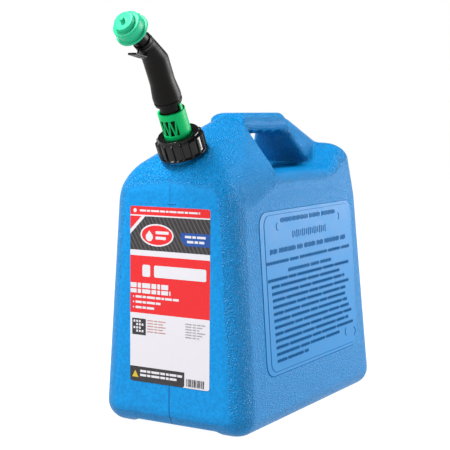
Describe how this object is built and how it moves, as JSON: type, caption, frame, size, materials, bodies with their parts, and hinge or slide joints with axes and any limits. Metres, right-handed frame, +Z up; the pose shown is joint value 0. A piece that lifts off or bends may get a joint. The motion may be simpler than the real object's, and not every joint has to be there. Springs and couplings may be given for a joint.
{
  "type": "fuel can",
  "caption": "Blue blow-moulded plastic fuel can with an integral handle and a push-to-pour spout with a lock collar and a green dust cap.",
  "frame": {"origin": "on the ground, under the middle of the can and its spout", "axes": "+Z up, -Y the pouring side, X across the can"},
  "size_m": [0.211, 0.4582, 0.4954],
  "materials": {
    "blue_plastic": "pebbled satin",
    "label": "coated",
    "steel_mesh": "satin",
    "seal": "matte",
    "black_plastic": "satin gloss",
    "green_plastic": "satin gloss",
    "grey_plastic": "satin",
    "spring_steel": "satin",
    "clear_plastic": "translucent white"
  },
  "bodies": {
    "tank": {"tank": "blue_plastic", "filler_neck": "blue_plastic", "front_label": "label", "flame_arrestor": "steel_mesh"},
    "gasket": {"neck_gasket": "seal"},
    "ring": {"screw_collar": "black_plastic"},
    "spout_base": {"base_flange": "black_plastic", "inner_tube": "black_plastic", "valve_poppet": "grey_plastic", "poppet_seal": "seal", "slide_seal": "seal", "return_spring": "spring_steel"},
    "lock": {"lock_collar": "green_plastic"},
    "sleeve": {"elbow_body": "black_plastic", "nozzle_tip": "black_plastic", "nozzle_seal": "seal", "rim_hook": "black_plastic", "valve_seat": "grey_plastic", "vent_tube": "clear_plastic", "vent_valve": "seal"},
    "cap": {"dust_cap": "green_plastic"}
  },
  "joints": [
    {"name": "spout_rise", "type": "slide", "parent": "tank", "child": "gasket", "axis": [0, -0.4695, 0.8829], "range_m": [0, 0.01]},
    {"name": "collar_turn", "type": "hinge", "parent": "gasket", "child": "ring", "pos_m": [0, -0.10862, 0.34656], "axis": [0, -0.4695, 0.8829], "range_deg": [-5, 725]},
    {"name": "spout_swivel", "type": "hinge", "parent": "gasket", "child": "spout_base", "pos_m": [0, -0.11284, 0.35451], "axis": [0, -0.4695, 0.8829], "range_deg": [-180, 180]},
    {"name": "lock_twist", "type": "hinge", "parent": "spout_base", "child": "lock", "pos_m": [0, -0.12176, 0.37128], "axis": [0, -0.4695, 0.8829], "range_deg": [0, 35], "stiffness_Nm_per_rad": 0.25, "springref_deg": -11.46},
    {"name": "spout_push", "type": "slide", "parent": "spout_base", "child": "sleeve", "axis": [0, -0.4695, 0.8829], "range_m": [-0.009, 0], "stiffness_N_per_m": 800, "springref_m": 0.01, "deforming": ["return_spring"]},
    {"name": "cap_pull", "type": "slide", "parent": "sleeve", "child": "cap", "axis": [0, -0.8746, 0.4848], "range_m": [0, 0.035]}
  ],
  "couplings": [
    {"joint": "collar_turn", "follows": "spout_rise", "rad_per_m": 1256.6}
  ]
}
